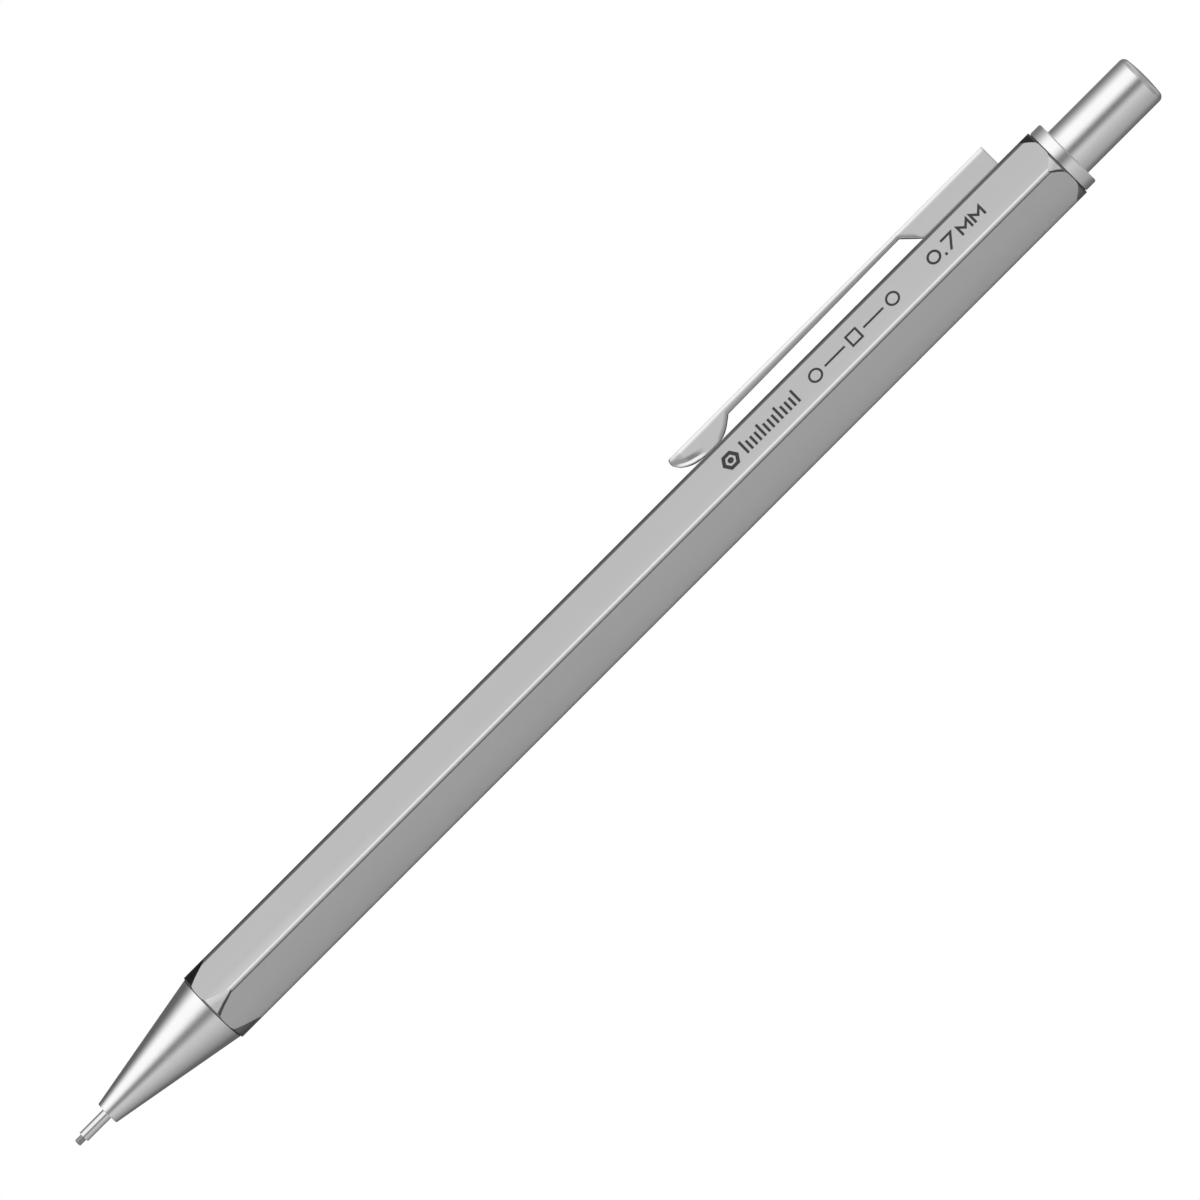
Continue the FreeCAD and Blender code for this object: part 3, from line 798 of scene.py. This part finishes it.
def make_spring():
    """Coil spring with closed turns at both ends."""
    low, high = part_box("return_spring")
    wire = 0.15 * MM
    radius = (high.y - low.y) / 2 - wire
    turns = 7.5
    closed = 1.2
    steps = 32
    sides = 12
    total = int(turns * steps)
    front = low.x + wire
    length = high.x - low.x - 2 * wire
    closed_pitch = 2.2 * wire
    open_pitch = (length - 2 * closed * closed_pitch) / (turns - 2 * closed)
    points = []
    for step in range(total + 1):
        turn = turns * step / total
        x = front + closed_pitch * min(turn, closed)
        x += open_pitch * min(max(turn - closed, 0.0), turns - 2 * closed)
        x += closed_pitch * max(turn - (turns - closed), 0.0)
        angle = 2 * math.pi * turn
        out = Vector((0, math.cos(angle), math.sin(angle)))
        centre = Vector((x, 0, AXIS_Z)) + out * radius
        for side in range(sides):
            around = 2 * math.pi * side / sides
            points.append(centre + wire * (math.cos(around) * out + math.sin(around) * Vector((1, 0, 0))))
    faces = [tuple(range(sides))]
    for step in range(total):
        for side in range(sides):
            after = (side + 1) % sides
            corner = step * sides + side
            next_corner = step * sides + after
            faces.append((corner, corner + sides, next_corner + sides, next_corner))
    faces.append(tuple(total * sides + side for side in reversed(range(sides))))
    spring = new_mesh("coil_spring", points, faces)
    spring.data.materials.append(DRAWN)
    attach(spring, "barrel")
    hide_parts("return_spring")
    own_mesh(spring)


# ---------------------------------------------------------------- marks printed on the upper front flat

MARK_UP = Vector((0, math.sin(math.radians(30)), math.cos(math.radians(30))))
MARK_OUT = Vector((0, -math.cos(math.radians(30)), math.sin(math.radians(30))))
INK_THICKNESS = 0.012 * MM
LEAST_MITRE = 0.4


def on_flat(along, up, out):
    """A place on the upper front flat: so far behind the tip, up the flat from its middle, and above it."""
    return Vector((from_tip(along), 0, AXIS_Z)) + MARK_UP * up + MARK_OUT * (FLAT + out)


def stroke(points, faces, line, width, closed=False):
    """Add a flat ribbon of ink along a line of (along, up) places, with mitred corners."""
    spots = [Vector(place) * MM for place in line]
    count = len(spots)
    start = len(points)
    for index, spot in enumerate(spots):
        ways = []
        if closed or index:
            ways.append((spot - spots[index - 1]).normalized())
        if closed or index < count - 1:
            ways.append((spots[(index + 1) % count] - spot).normalized())
        way = sum(ways, Vector((0, 0))).normalized()
        normal = Vector((-way.y, way.x))
        mitre = max(normal.dot(Vector((-ways[0].y, ways[0].x))), LEAST_MITRE)
        reach = width * MM / 2 / mitre
        for side in (1, -1):
            edge = spot + normal * side * reach
            points.append(on_flat(edge.x, edge.y, INK_THICKNESS))
            points.append(on_flat(edge.x, edge.y, -INK_THICKNESS / 4))
    runs = count if closed else count - 1
    for index in range(runs):
        here = start + 4 * index
        there = start + 4 * ((index + 1) % count)
        faces += [(here, here + 2, there + 2, there), (here + 1, there + 1, there + 3, here + 3)]
        faces += [(here, there, there + 1, here + 1), (here + 2, here + 3, there + 3, there + 2)]
    if not closed:
        last = start + 4 * (count - 1)
        faces += [(start, start + 1, start + 3, start + 2), (last, last + 2, last + 3, last + 1)]


def round_line(middle, radius, steps=40):
    """Places round a circle, or at the corners of a regular shape with few steps."""
    turns = [2 * math.pi * step / steps for step in range(steps)]
    return [(middle + radius * math.cos(turn), radius * math.sin(turn)) for turn in turns]


def make_mark(name, strokes):
    """One printed mark made of strokes: line, width and whether it closes."""
    points = []
    faces = []
    for line, width, closed in strokes:
        stroke(points, faces, line, width, closed)
    mark = new_mesh(name, points, faces, crease=20)
    mark.data.materials.append(INK)
    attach(mark, "barrel")


def make_marks():
    """The lead size in plain numerals, a drafting line motif and a small scale.

    Places are (along, up) in millimetres: behind the tip, and up the flat from its middle.
    """
    half = 0.68
    size = [
        (round_line(114.35, 0.62), 0.24, True),
        ([(115.27, -half - 0.02), (115.53, -half - 0.02)], 0.28, False),
        ([(115.75, half), (117.05, half), (116.0, -half - 0.1)], 0.25, False),
    ]
    for left in (117.75, 119.4):
        peaks = [(left, -0.6), (left, 0.5), (left + 0.6, -0.15), (left + 1.2, 0.5), (left + 1.2, -0.6)]
        size.append((peaks, 0.26, False))
    make_mark("lead_size", size)
    square = [(103.3, -0.62), (104.54, -0.62), (104.54, 0.62), (103.3, 0.62)]
    line = [
        (round_line(98.9, 0.64), 0.22, True),
        ([(100.1, 0), (102.7, 0)], 0.22, False),
        (square, 0.22, True),
        ([(105.14, 0), (107.74, 0)], 0.22, False),
        (round_line(108.95, 0.64), 0.22, True),
    ]
    make_mark("line_motif", line)
    scale = [(round_line(87.8, 0.8, 6), 0.36, True), (round_line(87.8, 0.16, 16), 0.3, True)]
    first_tick = 89.5
    tick_gap = 0.56
    for tick in range(13):
        top = 0.8 if tick % 4 == 0 else 0.35
        place = first_tick + tick * tick_gap
        scale.append(([(place, -0.8), (place, top)], 0.26, False))
    make_mark("scale_motif", scale)


# ---------------------------------------------------------------- stage


def make_floor():
    """Plain pale floor, large enough for every view; polished metal reflects the studio instead."""
    half = 1.2
    corners = [(-half, -half, 0), (half, -half, 0), (half, half, 0), (-half, half, 0)]
    floor = new_mesh("floor", corners, [(0, 1, 2, 3)])
    look = Finish("floor_paint", grey(0.9), roughness=0.9)
    look.vary_color(look.noise((3, 3, 3)), grey(0.89), grey(0.91))
    floor.data.materials.append(look.material)
    floor.visible_glossy = False


# Studio levels by angle in degrees above the horizon on the lens side, going over the top to the far
# side: for surfaces square to the lens, and for those turned a little toward the tip.
SQUARE_ON = [
    (-180, 0.13), (-150, 0.14), (-130, 0.18), (-104, 0.37), (-76, 0.45), (-60, 0.51), (-52, 0.54),
    (-36, 0.62), (-26, 0.61), (-20, 0.5), (-13, 0.33), (-6, 0.22), (0, 0.18), (5, 0.23), (10, 0.35),
    (18, 0.66), (26, 0.9), (34, 1.02), (68, 1.02), (80, 0.84), (98, 0.5), (118, 0.27), (134, 0.19),
    (180, 0.2),
]
TURNED_TO_TIP = [
    (-180, 0.12), (-130, 0.13), (-104, 0.29), (-76, 0.42), (-60, 0.51), (-52, 0.54), (-36, 0.62),
    (-26, 0.61), (-20, 0.5), (-13, 0.33), (-6, 0.22), (0, 0.18), (5, 0.23), (10, 0.35), (18, 0.66),
    (26, 0.9), (34, 1.02), (68, 1.02), (80, 0.8), (96, 0.4), (108, 0.2), (120, 0.12), (180, 0.12),
]
# Levels by height in degrees above the horizon, out past the pencil's two ends.
PAST_TIP = [(-90, 0.4), (-20, 0.5), (-4, 0.32), (6, 0.32), (20, 0.6), (35, 0.95), (70, 1.0), (90, 0.85)]
PAST_BUTTON = [
    (-90, 0.25), (-48, 0.3), (-26, 0.45), (-8, 0.33), (6, 0.33), (20, 0.52), (34, 0.52), (48, 0.38),
    (90, 0.3),
]
# How far toward an end, from 0 to 1, each set of levels takes over from the one before it, and how much
# later that is for directions on the far side of the pencil.
TURNED_START, TURNED_END = 0.03, 0.08
TIP_START, TIP_END = 0.36, 0.5
BUTTON_START, BUTTON_END = 0.2, 0.45
FAR_SIDE_DELAY = 0.2
FAR_SIDE_FULL = 0.5
# The lens stands this far round toward the button.
YAW = math.radians(2.0)


def make_world():
    """Soft studio surround that depends on direction alone, with a white backdrop behind the pencil."""
    world = bpy.data.worlds.new("studio")
    bpy.context.scene.world = world
    world.use_nodes = True
    tree = world.node_tree
    tree.nodes.clear()
    graph = Graph(tree)
    place = graph.nodes.new("ShaderNodeTexCoord").outputs["Generated"]
    parts = graph.add("SeparateXYZ", Vector=place)
    toward_lens = graph.math("MULTIPLY", parts.outputs["Y"], -1.0)
    angle = graph.math("ARCTAN2", parts.outputs["Z"], toward_lens)
    share = graph.math("MULTIPLY_ADD", angle, 0.5 / math.pi)
    share.node.inputs[2].default_value = 0.5
    aside = graph.math("ADD", parts.outputs["X"], math.sin(YAW))
    rise = graph.math("MULTIPLY_ADD", graph.math("ARCSINE", parts.outputs["Z"]), 1 / math.pi)
    rise.node.inputs[2].default_value = 0.5

    def levels(source, stops, widest):
        """Levels for a source that goes from 0 to 1 as the angle goes from -widest to widest."""
        return graph.ramp(source, [(degrees / (2 * widest) + 0.5, level) for degrees, level in stops])

    toward_tip = graph.math("MULTIPLY", aside, -1.0)
    square = levels(share, SQUARE_ON, 180)
    turned = levels(share, TURNED_TO_TIP, 180)
    light = graph.mix(graph.ease(toward_tip, TURNED_START, TURNED_END), square, turned)
    ends = ((-1.0, PAST_TIP, TIP_START, TIP_END), (1.0, PAST_BUTTON, BUTTON_START, BUTTON_END))
    behind = graph.ease(parts.outputs["Y"], 0.0, FAR_SIDE_FULL, 0.0, FAR_SIDE_DELAY)
    for way, stops, start, end in ends:
        reach = graph.math("SUBTRACT", graph.math("MULTIPLY", aside, way), behind)
        light = graph.mix(graph.ease(reach, start, end), light, levels(rise, stops, 90))
    lit = graph.add("Background", Color=light, Strength=1.0)
    seen = graph.add("Background", Color=(1, 1, 1, 1), Strength=1.0)
    ray = graph.nodes.new("ShaderNodeLightPath").outputs["Is Camera Ray"]
    both = graph.add("MixShader", n0=ray, n1=lit.outputs[0], n2=seen.outputs[0])
    graph.add("OutputWorld", Surface=both.outputs[0])


def make_lights():
    """A large softbox overhead, which brightens the floor and softens the contact shadow."""
    light = bpy.data.lights.new("overhead_softbox", "AREA")
    light.shape = "RECTANGLE"
    light.size = 0.8
    light.size_y = 0.5
    light.energy = 1.2
    lamp = bpy.data.objects.new("overhead_softbox", light)
    lamp.location = (0, -0.25, 0.9)
    lamp.rotation_euler = (math.radians(-15), 0, 0)
    lamp.visible_glossy = False
    bpy.context.scene.collection.objects.link(lamp)


def make_camera():
    """Long lens, level with the floor, with the pencil slanting up to the right across the frame."""
    field = 111.2 * MM
    distance = 1.5
    tilt = math.radians(-45)
    rise = 1.35 * MM
    data = bpy.data.cameras.new("camera")
    data.sensor_width = 36.0
    data.lens = data.sensor_width * distance / field
    data.clip_start = 0.01
    camera = bpy.data.objects.new("camera", data)
    bpy.context.scene.collection.objects.link(camera)
    target = Vector((0, 0, AXIS_Z + rise))
    spot = Vector((math.sin(YAW) * distance, -math.cos(YAW) * distance, 0.0))
    aim = (target - spot).to_track_quat("-Z", "Y").to_matrix().to_4x4()
    camera.matrix_world = Matrix.Translation(spot) @ aim @ Matrix.Rotation(tilt, 4, "Z")
    bpy.context.scene.camera = camera


dress_nodes()
make_clip()
make_tabs()
make_spring()
make_marks()
make_floor()
make_world()
make_lights()
make_camera()
bpy.context.scene.view_settings.view_transform = "Standard"
